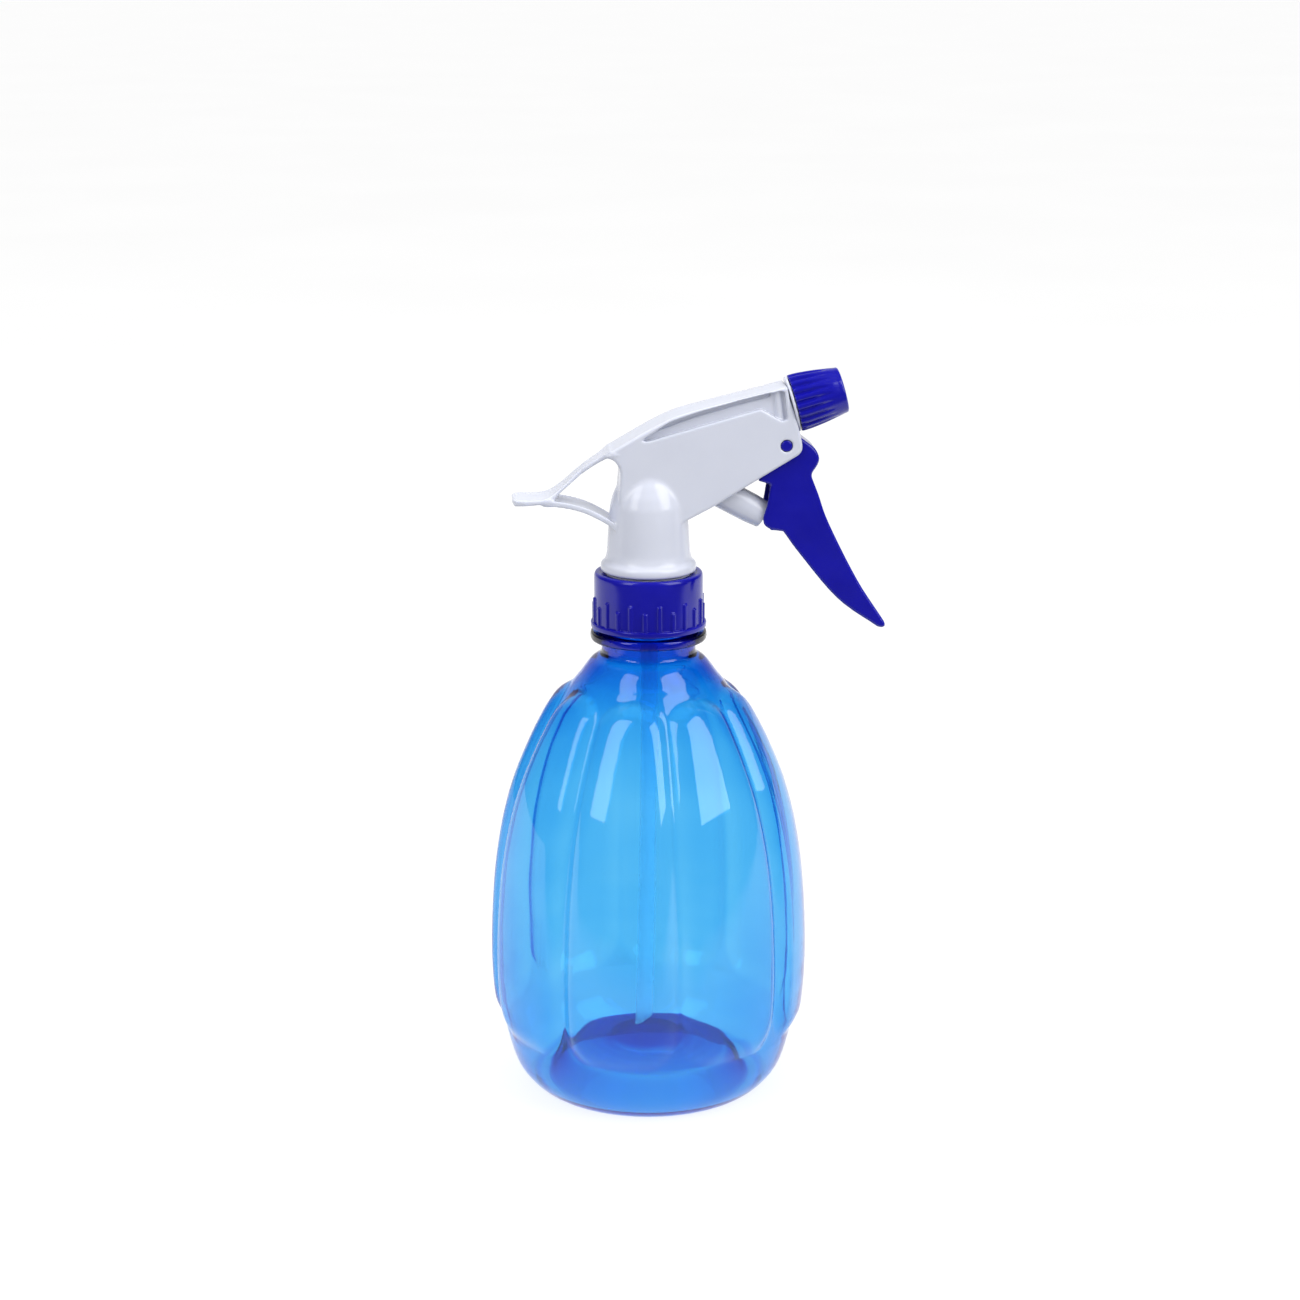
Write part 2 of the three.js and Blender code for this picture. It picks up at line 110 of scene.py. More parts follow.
# ---- bottle, millimetres ----
# The foot and the grooves' floor are (radius, height) pairs; the wall pairs a height with a thickness.

FOOT = [(32.6, 0), (34, 0.9), (36.2, 3), (38.5, 6.2), (40, 10), (41.1, 14), (41.8, 17)]
GROOVE_FLOOR = [
    (41.8, 17), (42.4, 24), (43.1, 33), (43.25, 42), (42.9, 52), (42.2, 62), (40.95, 72), (39, 82),
    (36.1, 92), (32, 102), (29.1, 108), (26.3, 113), (21.5, 119.6), (19.6, 122), (16.6, 126), (14.1, 127.9),
]
WALL = [
    (0, 0.86), (10, 0.8), (24, 0.66), (40, 0.58), (60, 0.56), (95, 0.65), (108, 0.9), (114, 1.1), (120, 1.5),
    (124, 1.9), (128, 2.4),
]
LOBE_COUNT, LOBE_HEIGHT, LOBE_TOP = 8, 2.4, 119.3
LOBE_SIDE, LOBE_FOOT, LOBE_CROWN, LOBE_CORNER, LOBE_FILLET = 6.0, 8.0, 5.0, 1.5, 0.2
FIRST_GROOVE = math.radians(7.5) - math.pi / 2
NECK_BORE, NECK_ROOT, NECK_BELOW, NECK_RING = 10.9, 12.4, 13.3, 16.45
RING_LOW, RING_HIGH = 132.2, 134.8
THREAD_PITCH, THREAD_PROUD, THREAD_LOW, THREAD_TURNS = 3.18, 1.15, 139.9, 1.4
AROUND, BUNCHING = 288, 0.75

# ---- closure, head, trigger and nozzle, millimetres ----

CAP_RADIUS, CAP_SKIRT = 15.35, 16.35
RIB_COUNT, RIB_HALF, RIB_PROUD, RIB_LONG, RIB_SHORT = 24, 0.62, 0.55, 8.6, 6.6
HEAD_HALF, HEAD_EDGE = 7.0, 0.75
PIN_HOLE, PIN_RADIUS, BOSS_RADIUS = 1.7, 1.6, 3.2
TRIGGER_HALF, TRIGGER_INNER, TRIGGER_EDGE = 5.5, 4.5, 0.85
CROWN = [(-11, 186.8), (0.5, 193.4), (8.3, 196.9), (20.1, 200), (32, 202.9), (37.9, 204.4)]
FLUTES, FLUTE_DEPTH = 20, 0.75

# ---- looks ----

PET_TINT, PET_DENSITY, PET_IOR = (0.05, 0.71, 0.94, 1), 2300, 1.5
MOULD_IOR, MOULD_RELIEF = 1.49, 3e-6
NOISE_LOW, NOISE_HIGH = 0.35, 0.65
DEEPEST_TURN = 5.5         # rays that have turned more often than this pass the bottle straight
BASE_CLEARNESS = 0.85      # the share of rays that pass the thick base straight
BASE_RADIUS, BASE_HEIGHT, BASE_FADE = 0.029, 0.015, 0.003


# ---- making meshes ----

def place(name, points, faces, node, material, to=None):
    """A shaded piece from points in millimetres about the bottle's axis, standing for a CAD node."""
    mesh = bpy.data.meshes.new(name)
    points = np.asarray(points, float)
    if to is not None:
        turned = np.array(to)
        points = points @ turned[:3, :3].T + turned[:3, 3]
    points = points * MM + (AXIS_X, 0, 0)
    mesh.from_pydata(points.tolist(), [], faces)
    work = bmesh.new()
    work.from_mesh(mesh)
    bmesh.ops.remove_doubles(work, verts=work.verts, dist=1e-7)
    bmesh.ops.dissolve_degenerate(work, edges=work.edges, dist=1e-8)
    bmesh.ops.recalc_face_normals(work, faces=work.faces)
    work.to_mesh(mesh)
    work.free()
    mesh.shade_smooth()
    mesh.materials.append(material)
    piece = bpy.data.objects.new(name, mesh)
    bpy.context.scene.collection.objects.link(piece)
    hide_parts(node)
    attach(piece, frame["nodes"][node]["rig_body"])
    return piece


def lathe(profile, segments=128, shape=None, bunch=None):
    """Points and faces of (radius, height) pairs turned about Z. The pairs start and end on the axis or
    close on themselves, and shape(angle, radius, height) may change each point's radius and height.
    bunch(angle) may move the meridians closer together where the shape turns fast."""
    rows = np.array(profile, float)
    angle = np.arange(segments)[None, :] * 2 * math.pi / segments
    if bunch:
        angle = bunch(angle)
    radius = np.repeat(rows[:, :1], segments, 1)
    height = np.repeat(rows[:, 1:2], segments, 1)
    if shape:
        radius, height = shape(angle, radius, height)
    points = np.stack([radius * np.cos(angle), radius * np.sin(angle), height], -1).reshape(-1, 3)
    open_ended = rows[0, 0] == 0 and rows[-1, 0] == 0
    last = len(rows) - 1 if open_ended else len(rows)
    i, j = np.meshgrid(np.arange(last), np.arange(segments), indexing="ij")
    below, above = i * segments, (i + 1) % len(rows) * segments
    right = (j + 1) % segments
    faces = np.stack([below + j, below + right, above + right, above + j], -1).reshape(-1, 4)
    return points, faces.tolist()


def curve(points, count):
    """Points along a smooth curve through the given ones."""
    p = np.array(points, float)
    p = np.vstack([2 * p[0] - p[1], p, 2 * p[-1] - p[-2]])
    along = np.linspace(0, len(points) - 1, count)
    i = np.minimum(along.astype(int), len(points) - 2)
    f = (along - i)[:, None]
    a, b, c, d = p[i], p[i + 1], p[i + 2], p[i + 3]
    bent = 2 * b + (c - a) * f + (2 * a - 5 * b + 4 * c - d) * f ** 2 + (3 * b - a - 3 * c + d) * f ** 3
    return [tuple(point) for point in bent / 2]


def eased(points, reach=0.3, steps=5):
    """A closed outline with each corner turned into a curve that starts `reach` before it. A point may
    carry its own reach as a third number."""
    outline = []
    for before, corner, after in zip(points[-1:] + points[:-1], points, points[1:] + points[:1]):
        b, c, a = (np.array(p[:2], float) for p in (before, corner, after))
        own = corner[2] if len(corner) > 2 else reach
        if own == 0:
            outline.append(tuple(c))
            continue
        start = c + (b - c) * min(0.45, own / np.linalg.norm(b - c))
        end = c + (a - c) * min(0.45, own / np.linalg.norm(a - c))
        for t in np.linspace(0, 1, steps):
            outline.append(tuple((1 - t) ** 2 * start + 2 * t * (1 - t) * c + t * t * end))
    return outline


def turned_piece(name, profile, node, material, reach=0.25, to=None, segments=128, shape=None):
    """A turned piece with its corners eased. Points on the axis stay sharp."""
    corners = [point if point[0] > 0 else (point[0], point[1], 0) for point in profile]
    points, faces = lathe(eased(corners, reach), segments, shape)
    piece = place(name, points, faces, node, material, to)
    piece.modifiers.new("even_shading", "WEIGHTED_NORMAL").keep_sharp = True
    return piece


# ---- distance fields: millimetres, below 0 inside ----

class Grid:
    """A regular grid that fields are worked out on."""

    def __init__(self, low, high, step):
        self.low, self.step = np.array(low, float), step
        axes = [np.arange(a, b + step, step) for a, b in zip(low, high)]
        self.x, self.y, self.z = np.meshgrid(*axes, indexing="ij", sparse=True)


def outline_distance(points, px, pz):
    """Signed distance to a closed outline of (x, z) points."""
    nearest = np.full(np.broadcast(px, pz).shape, np.inf)
    inside = np.zeros(nearest.shape, bool)
    for (ax, az), (bx, bz) in zip(points, points[1:] + points[:1]):
        ex, ez = bx - ax, bz - az
        if ex == ez == 0:
            continue
        wx, wz = px - ax, pz - az
        share = np.clip((wx * ex + wz * ez) / (ex * ex + ez * ez), 0, 1)
        nearest = np.minimum(nearest, (wx - ex * share) ** 2 + (wz - ez * share) ** 2)
        if ez != 0:
            inside ^= ((az > pz) != (bz > pz)) & (px < ax + wz * ex / ez)
    return np.where(inside, -1, 1) * np.sqrt(nearest)


def join(a, b, blend=0.0):
    """Both shapes, with a fillet of about `blend` where they meet."""
    if blend == 0:
        return np.minimum(a, b)
    share = np.clip(0.5 + 0.5 * (b - a) / blend, 0, 1)
    return b + (a - b) * share - blend * share * (1 - share)


def cut(a, b, blend=0.0):
    """The first shape less the second."""
    return -join(-a, b, blend)


def slab(grid, outline, half, edge=0.0):
    """An outline in XZ given depth about Y = 0, with its rims rounded by `edge`."""
    flat = outline_distance(outline, grid.x, grid.z) + edge
    side = np.abs(grid.y) - half + edge
    outer = np.hypot(np.maximum(flat, 0), np.maximum(side, 0))
    return np.minimum(np.maximum(flat, side), 0) + outer - edge


def spun(profile, across, along, step=0.1):
    """A solid turned about a line, from the distances across and along that line."""
    mirrored = list(profile) + [(-r, z) for r, z in reversed(profile)]
    radii = np.arange(0, across.max() + 2 * step, step)
    span = np.arange(along.min(), along.max() + 2 * step, step)
    table = outline_distance(mirrored, radii[:, None], span[None, :])
    i, j = across / step, (along - span[0]) / step
    i, j = np.broadcast_arrays(i, j)
    i0, j0 = i.astype(int), j.astype(int)
    fi, fj = i - i0, j - j0
    low = table[i0, j0] * (1 - fi) + table[i0 + 1, j0] * fi
    high = table[i0, j0 + 1] * (1 - fi) + table[i0 + 1, j0 + 1] * fi
    return low * (1 - fj) + high * fj


def spun_on(grid, profile, line=None):
    """A solid turned about Z, or about the Z of another frame."""
    if line is None:
        return spun(profile, np.hypot(grid.x, grid.y), grid.z)
    origin = np.array(line.translation)
    direction = np.array(line.to_3x3())[:, 2]
    x, z = grid.x - origin[0], grid.z - origin[2]
    along = x * direction[0] + z * direction[2]
    sideways = x * direction[2] - z * direction[0]
    return spun(profile, np.hypot(sideways, grid.y), along)


def moulded(name, grid, field, node, material):
    """A piece from a field, shaded by the field's own slope."""
    volume = openvdb.FloatGrid()
    near = np.clip(field, -3 * grid.step, 3 * grid.step)
    volume.copyFromArray(np.ascontiguousarray(near, dtype=np.float32))
    points, triangles, quads = volume.convertToPolygons(0.0)
    placed = points * grid.step + grid.low
    faces = [face[::-1] for face in triangles.tolist() + quads.tolist()]
    piece = place(name, placed, faces, node, material)
    shade_by_slope(piece.data, grid, field)
    return piece


def shade_by_slope(mesh, grid, field):
    """Gives each corner the field's own direction, so that flats stay flat and rims stay round."""
    points = np.zeros(len(mesh.vertices) * 3)
    mesh.vertices.foreach_get("co", points)
    points = (points.reshape(-1, 3) - (AXIS_X, 0, 0)) / MM
    slope = np.stack([sampled(grid, field, points, axis) for axis in range(3)], -1)
    slope /= np.maximum(np.linalg.norm(slope, axis=1, keepdims=True), 1e-9)
    mesh.normals_split_custom_set_from_vertices(slope.tolist())


def sampled(grid, field, points, axis, reach=0.6):
    """The field's slope along one axis at each point."""
    offset = np.zeros(3)
    offset[axis] = reach
    ahead = value_at(grid, field, points + offset * grid.step)
    return ahead - value_at(grid, field, points - offset * grid.step)


def value_at(grid, field, points):
    """The field at each point, evenly mixed from the eight grid points round it."""
    at = (points - grid.low) / grid.step
    cell = np.clip(at.astype(int), 0, np.array(field.shape) - 2)
    share = at - cell
    total = np.zeros(len(points))
    for corner in np.ndindex(2, 2, 2):
        weight = np.prod(np.where(corner, share, 1 - share), axis=1)
        i, j, k = (cell + corner).T
        total += weight * field[i, j, k]
    return total


# ---- materials ----

def new_material(name):
    """A node material and its Principled shader."""
    material = bpy.data.materials.new(name)
    material.use_nodes = True
    return material, material.node_tree, material.node_tree.nodes["Principled BSDF"]


def noise(tree, scale, detail=3.0, stretch=(1, 1, 1)):
    """A noise pattern fixed to the object, with its scale in waves per metre."""
    where = tree.nodes.new("ShaderNodeTexCoord")
    mapping = tree.nodes.new("ShaderNodeMapping")
    mapping.inputs["Scale"].default_value = stretch
    pattern = tree.nodes.new("ShaderNodeTexNoise")
    pattern.inputs["Scale"].default_value = scale
    pattern.inputs["Detail"].default_value = detail
    tree.links.new(where.outputs["Object"], mapping.inputs["Vector"])
    tree.links.new(mapping.outputs["Vector"], pattern.inputs["Vector"])
    return pattern.outputs["Fac"]


def ranged(tree, value, start, end, low=0.0, high=1.0):
    """A value's span from start to end turned into low to high, and held level outside it."""
    node = tree.nodes.new("ShaderNodeMapRange")
    node.inputs["From Min"].default_value = start
    node.inputs["From Max"].default_value = end
    node.inputs["To Min"].default_value = low
    node.inputs["To Max"].default_value = high
    tree.links.new(value, node.inputs["Value"])
    return node.outputs["Result"]


def spread(tree, value, low, high):
    """A noise value spread between two numbers."""
    return ranged(tree, value, NOISE_LOW, NOISE_HIGH, low, high)


def maths(tree, operation, *values):
    """The result of a maths node whose inputs are sockets or plain numbers."""
    node = tree.nodes.new("ShaderNodeMath")
    node.operation = operation
    for socket, value in zip(node.inputs, values):
        if isinstance(value, (int, float)):
            socket.default_value = value
        else:
            tree.links.new(value, socket)
    return node.outputs["Value"]


def two_tone(tree, value, first, second):
    """A colour that runs between two by a noise value."""
    ramp = tree.nodes.new("ShaderNodeValToRGB")
    ramp.color_ramp.elements[0].position = NOISE_LOW
    ramp.color_ramp.elements[0].color = (*first, 1)
    ramp.color_ramp.elements[1].position = NOISE_HIGH
    ramp.color_ramp.elements[1].color = (*second, 1)
    tree.links.new(value, ramp.inputs["Fac"])
    return ramp.outputs["Color"]


def bump(tree, shader, value, depth):
    """Relief of a given depth in metres."""
    node = tree.nodes.new("ShaderNodeBump")
    node.inputs["Strength"].default_value = 1.0
    node.inputs["Distance"].default_value = depth
    tree.links.new(value, node.inputs["Height"])
    tree.links.new(node.outputs["Normal"], shader.inputs["Normal"])


def moulded_plastic(name, first, second, gloss, glow=0.0):
    """Injection-moulded plastic: faint flow mottling, fine surface relief and uneven gloss."""
    material, tree, shader = new_material(name)
    mottle = noise(tree, 90, 4)
    tree.links.new(two_tone(tree, mottle, first, second), shader.inputs["Base Color"])
    tree.links.new(spread(tree, noise(tree, 260, 5), *gloss), shader.inputs["Roughness"])
    bump(tree, shader, noise(tree, 700, 3), MOULD_RELIEF)
    shader.inputs["IOR"].default_value = MOULD_IOR
    if glow:
        shader.inputs["Subsurface Weight"].default_value = glow
        shader.inputs["Subsurface Radius"].default_value = (1.2, 1.3, 1.6)
        shader.inputs["Subsurface Scale"].default_value = MM
    return material


def clear_pet(name):
    """Blown PET, tinted by the length of plastic that light passes through."""
    material, tree, shader = new_material(name)
    shader.inputs["Base Color"].default_value = (1, 1, 1, 1)
    shader.inputs["Transmission Weight"].default_value = 1.0
    shader.inputs["IOR"].default_value = PET_IOR
    tree.links.new(spread(tree, noise(tree, 45, 4), 0.01, 0.04), shader.inputs["Roughness"])
    bump(tree, shader, noise(tree, 60, 2, (1, 1, 0.35)), 6e-5)
    absorb = tree.nodes.new("ShaderNodeVolumeAbsorption")
    absorb.inputs["Color"].default_value = PET_TINT
    absorb.inputs["Density"].default_value = PET_DENSITY
    out = tree.nodes["Material Output"]
    tree.links.new(absorb.outputs["Volume"], out.inputs["Volume"])
    let_rays_through(tree, shader, out)
    return material


def let_rays_through(tree, shader, out):
    """Rays to the lamps, rays that have turned many times and most rays in the base pass straight."""
    path = tree.nodes.new("ShaderNodeLightPath")
    deep = maths(tree, "GREATER_THAN", path.outputs["Ray Depth"], DEEPEST_TURN)
    anywhere = maths(tree, "MAXIMUM", path.outputs["Is Shadow Ray"], deep)
    clear = tree.nodes.new("ShaderNodeBsdfTransparent")
    mix = tree.nodes.new("ShaderNodeMixShader")
    tree.links.new(maths(tree, "MAXIMUM", anywhere, thick_base(tree)), mix.inputs["Fac"])
    tree.links.new(shader.outputs["BSDF"], mix.inputs[1])
    tree.links.new(clear.outputs["BSDF"], mix.inputs[2])
    tree.links.new(mix.outputs["Shader"], out.inputs["Surface"])


def thick_base(tree):
    """The clearness of the base in its thick middle, and 0 elsewhere."""
    where = tree.nodes.new("ShaderNodeTexCoord")
    from_axis = tree.nodes.new("ShaderNodeVectorMath")
    from_axis.operation = "SUBTRACT"
    from_axis.inputs[1].default_value = (AXIS_X, 0, 0)
    tree.links.new(where.outputs["Object"], from_axis.inputs[0])
    parts = tree.nodes.new("ShaderNodeSeparateXYZ")
    tree.links.new(from_axis.outputs["Vector"], parts.inputs["Vector"])
    flat = tree.nodes.new("ShaderNodeCombineXYZ")
    tree.links.new(parts.outputs["X"], flat.inputs["X"])
    tree.links.new(parts.outputs["Y"], flat.inputs["Y"])
    radius = tree.nodes.new("ShaderNodeVectorMath")
    radius.operation = "LENGTH"
    tree.links.new(flat.outputs["Vector"], radius.inputs[0])
    within = ranged(tree, radius.outputs["Value"], BASE_RADIUS, BASE_RADIUS + BASE_FADE, BASE_CLEARNESS, 0.0)
    low = ranged(tree, parts.outputs["Z"], BASE_HEIGHT, BASE_HEIGHT + BASE_FADE, 1.0, 0.0)
    return maths(tree, "MULTIPLY", within, low)


def milky_tube(name):
    """Extruded polyethylene tube: milky, with faint streaks along it."""
    material, tree, shader = new_material(name)
    streaks = noise(tree, 500, 3, (1, 1, 0.03))
    milky = two_tone(tree, streaks, (0.74, 0.81, 0.86), (0.80, 0.86, 0.90))
    tree.links.new(milky, shader.inputs["Base Color"])
    tree.links.new(spread(tree, noise(tree, 200, 3), 0.22, 0.36), shader.inputs["Roughness"])
    shader.inputs["Alpha"].default_value = 0.33
    return material


def seal_rubber(name):
    """Soft matt elastomer with a fine moulded grain."""
    material, tree, shader = new_material(name)
    pale = two_tone(tree, noise(tree, 150, 4), (0.60, 0.60, 0.57), (0.70, 0.70, 0.66))
    tree.links.new(pale, shader.inputs["Base Color"])
    tree.links.new(spread(tree, noise(tree, 400, 4), 0.55, 0.75), shader.inputs["Roughness"])
    bump(tree, shader, noise(tree, 1500, 3), 3e-5)
    return material


def drawn_steel(name):
    """Stainless spring wire and polished balls, with fine drawing lines."""
    material, tree, shader = new_material(name)
    lines = noise(tree, 900, 4, (1, 1, 0.2))
    grey = two_tone(tree, lines, (0.52, 0.53, 0.55), (0.68, 0.69, 0.70))
    tree.links.new(grey, shader.inputs["Base Color"])
    tree.links.new(spread(tree, lines, 0.16, 0.32), shader.inputs["Roughness"])
    shader.inputs["Metallic"].default_value = 1.0
    bump(tree, shader, lines, 1e-5)
    return material


PET = clear_pet("clear_blue_pet")
BLUE = moulded_plastic("blue_polypropylene", (0.004, 0.0035, 0.29), (0.0055, 0.005, 0.335), (0.13, 0.19))
WHITE = moulded_plastic(
    "white_polypropylene", (0.61, 0.635, 0.73), (0.63, 0.655, 0.75), (0.15, 0.21), glow=0.14
)
TUBE = milky_tube("milky_polyethylene")
RUBBER = seal_rubber("seal_rubber")
STEEL = drawn_steel("spring_steel")


# ---- bottle ----

def lobe_rise(angle, height, radius):
    """How far the lobes stand proud of the grooves' floor: they round up from each groove, from the foot
    and from the crown, and blend round their corners."""
    step = 2 * math.pi / LOBE_COUNT
    turn = (angle - FIRST_GROOVE) / step
    from_groove = np.abs(turn - np.round(turn)) * step * radius
    floor = np.array(GROOVE_FLOOR)
    run = np.concatenate([[0], np.cumsum(np.hypot(*np.diff(floor, axis=0).T))])
    along = np.interp(height, floor[:, 1], run)
    length = np.interp(LOBE_TOP, floor[:, 1], run)
    side = from_groove / LOBE_SIDE
    end = np.minimum(along / LOBE_FOOT, (length - along) / LOBE_CROWN)
    from_corner = np.hypot(np.maximum(LOBE_CORNER - side, 0), np.maximum(LOBE_CORNER - end, 0))
    inward = np.maximum(LOBE_CORNER - from_corner, 0)
    share = np.clip((np.hypot(inward, LOBE_FILLET) - LOBE_FILLET) / (1 - LOBE_FILLET), 0, 1)
    return LOBE_HEIGHT * (1 - (1 - share) ** 2)


def ripple(angle, height):
    """The slow waves that blowing leaves on the inside."""
    dapples = np.sin(3 * angle + 0.11 * height) * np.sin(0.23 * height + 1.3)
    streaks = np.sin(7 * angle - 0.05 * height)
    rings = np.sin(0.9 * height + 2 * np.sin(2 * angle)) * np.exp(-((height - 34) / 16) ** 2)
    return 0.03 * dapples + 0.03 * streaks + 0.014 * rings


def base_rings(radius):
    """The shallow rings moulded into the base's inner face, gone by its shoulder."""
    depth, rate, shoulder, fade = 0.09, 2.1, 26, 4
    return depth * math.sin(rate * radius) * min(1, max(0, (shoulder - radius) / fade))


def bottle_rows():
    """The bottle's profile as (radius, height, kind): kind 1 is the outside wall, 2 the inside wall, 3 the
    threaded neck and 0 the rest."""
    under = curve([(0, 10.7), (9.4, 10.5), (10.6, 10), (12.2, 9.5), (21.5, 8.3), (23.6, 7.2), (26.2, 3)], 26)
    under += eased([(26.2, 3, 0), (28.2, 0, 1.2), (32.6, 0, 0)])[:-1]
    outside = curve(FOOT, 16) + curve(GROOVE_FLOOR, 124)[1:]
    below_ring = curve([(14.1, 127.9), (13.45, 128.6), (NECK_BELOW, 130), (NECK_BELOW, 131.6)], 8)[1:]
    ring = eased([
        (NECK_BELOW, 131.6, 0), (NECK_BELOW, RING_LOW, 0.4), (NECK_RING, RING_LOW, 0.9),
        (NECK_RING, RING_HIGH, 0.9), (13.4, RING_HIGH, 0.5), (13.4, 136.3, 0.3), (13.8, 137, 0.4),
        (13.8, 137.8, 0.4), (NECK_ROOT, 138.6, 0.4), (NECK_ROOT, 139, 0),
    ])
    threaded = [(NECK_ROOT, z) for z in np.arange(139.1, LIP - 0.8, 0.18)]
    lip = eased([
        (NECK_ROOT, LIP - 0.8, 0), (NECK_ROOT, LIP, 0.5), (NECK_BORE, LIP, 0.4), (NECK_BORE, LIP - 1.5, 0),
    ])
    bore = [(NECK_BORE, z) for z in np.arange(LIP - 2.5, 131, -1.0)]
    bore += curve([(NECK_BORE, 130.6), (11, 129.4), (11.7, 127.9)], 6)
    inside = []
    for radius, height in reversed(curve(FOOT, 12) + curve(GROOVE_FLOOR, 90)[1:]):
        if 1.7 < height < 127.4:
            inside.append((radius - np.interp(height, *np.array(WALL).T), height))
    upper = curve([
        (33.0, 1.4), (31.5, 0.8), (29.2, 0.8), (27.4, 3.2), (25.4, 6.8), (23.6, 8.45), (21.5, 9.3), (17, 10),
        (12.8, 10.7), (11.2, 11.6), (9.6, 12.4), (5, 12.7), (0, 12.7),
    ], 60)
    upper = [(r, z + base_rings(r)) for r, z in upper]
    parts = [(under, 0), (outside, 1), (below_ring, 0), (ring, 0), (threaded, 3), (lip, 0), (bore, 0)]
    parts += [(inside, 2), (upper, 0)]
    return [(r, z, kind) for rows, kind in parts for r, z in rows]


def thread_rise(angle, height):
    """How far the neck's right-hand thread stands proud."""
    turns = (height - THREAD_LOW) / THREAD_PITCH
    nearest = np.clip(np.round(turns - angle / (2 * math.pi)), 0, 1) + angle / (2 * math.pi)
    off = np.abs(turns - nearest) * THREAD_PITCH
    run_out, crest, flank, roundness = 0.06, 1.55, 0.75, 0.8
    ends = np.clip(np.minimum(nearest, THREAD_TURNS - nearest) / run_out, 0, 1)
    return THREAD_PROUD * ends * np.clip(crest - off / flank, 0, 1) ** roundness


def make_bottle():
    """The blown bottle: one closed skin, outside and inside, lobed but for its foot, shoulder and neck."""
    rows = bottle_rows()
    kind = np.array([row[2] for row in rows])[:, None]

    def shape(angle, radius, height):
        lobes = lobe_rise(angle, height, radius)
        radius = radius + np.where((kind == 1) | (kind == 2), lobes, 0)
        radius = radius + np.where(kind == 2, ripple(angle, height), 0)
        radius = radius + np.where(kind == 3, thread_rise(angle, height), 0)
        return radius, height

    def towards_grooves(angle):
        return angle - BUNCHING / LOBE_COUNT * np.sin(LOBE_COUNT * (angle - FIRST_GROOVE))

    points, faces = lathe([row[:2] for row in rows], AROUND, shape, towards_grooves)
    return place("bottle_shell", points, faces, "bottle", PET)


# ---- closure ----

def make_cap():
    """The closure, with alternating long and short grip ribs over its skirt band."""
    def ribs(angle, radius, height):
        turn = angle * RIB_COUNT / (2 * math.pi) - 0.5
        number = np.round(turn)
        across = np.abs(turn - number) * 2 * math.pi / RIB_COUNT * radius
        top = np.where(number % 2 == 0, RIB_LONG, RIB_SHORT) + CAP_LOW
        wide = 1 - np.clip((across - RIB_HALF + 0.2) / 0.25, 0, 1)
        tall = 1 - np.clip((height - top) / 0.3, 0, 1)
        outside = np.clip((radius - 15.2) / 0.1, 0, 1) * (height < CAP_TOP - 1)
        proud = np.maximum(radius, CAP_RADIUS + RIB_PROUD * wide * tall)
        return radius + (proud - radius) * outside, height

    wall = [(CAP_RADIUS, z, 0) for z in np.arange(CAP_LOW + 2.2, CAP_TOP - 3.6, 0.2)]
    profile = [
        (14.2, CAP_LOW, 0.3), (CAP_SKIRT, CAP_LOW, 0.5), (CAP_SKIRT, CAP_LOW + 1.55, 0.35),
        (CAP_RADIUS, CAP_LOW + 1.65, 0.15), *wall, (CAP_RADIUS, CAP_TOP, 2.3), (13.7, CAP_TOP - 0.05, 0.3),
        (13.5, 151.4, 0.2), (12.4, 151.4, 0.2), (12.4, 149.2, 0.2), (14.2, 149.2, 0.4),
    ]
    points, faces = lathe(eased(profile), RIB_COUNT * 20, ribs)
    return place("closure", points, faces, "screw_cap", BLUE)


# ---- head ----

def make_head():
    """The shroud: stem and dome, cheeks with their side recess, and the tail with its leaf."""
    grid = Grid((-39.5, -15, 150.5), (44.3, 15, 206.2), 0.36)
    lower = [
        (40.2, 196.6, 0), (41.9, 190.4, 0.6), (42.5, 187.2, 1.2), (41.7, 185.5, 1.2), (26.7, 176.5, 1),
        (17.8, 171.1, 1), (9, 166.5, 0.3),
    ]
    back = [(-8, 166.5, 0.3), (-8.6, 175, 1), (-8, 181.2, 2.5), (-9.6, 184.2, 1.5), (-12.2, 185.4, 0.3)]
    crown = [(x, z, 0) for x, z in curve(CROWN, 20)] + [(38.6, 201, 0.4)]
    cheeks = slab(grid, eased(crown + lower + back), HEAD_HALF, HEAD_EDGE)
    stem = spun_on(grid, eased([
        (0, COLLAR_LOW, 0), (13.5, COLLAR_LOW, 1), (13.5, 154.2, 1.1), (12.2, 155.2, 0.8),
        (11.7, 157.4, 0.8), (11.1, 167, 2), (10.75, 170.8, 1), (9.9, 173.9, 1), (8.4, 177, 1),
        (6.4, 179.6, 1), (3.4, 181.4, 1), (0, 182, 0),
    ]))
    body = join(cheeks, stem, 0.8)
    body = join(body, make_tail(grid), 0.9)
    return hollowed(grid, body)


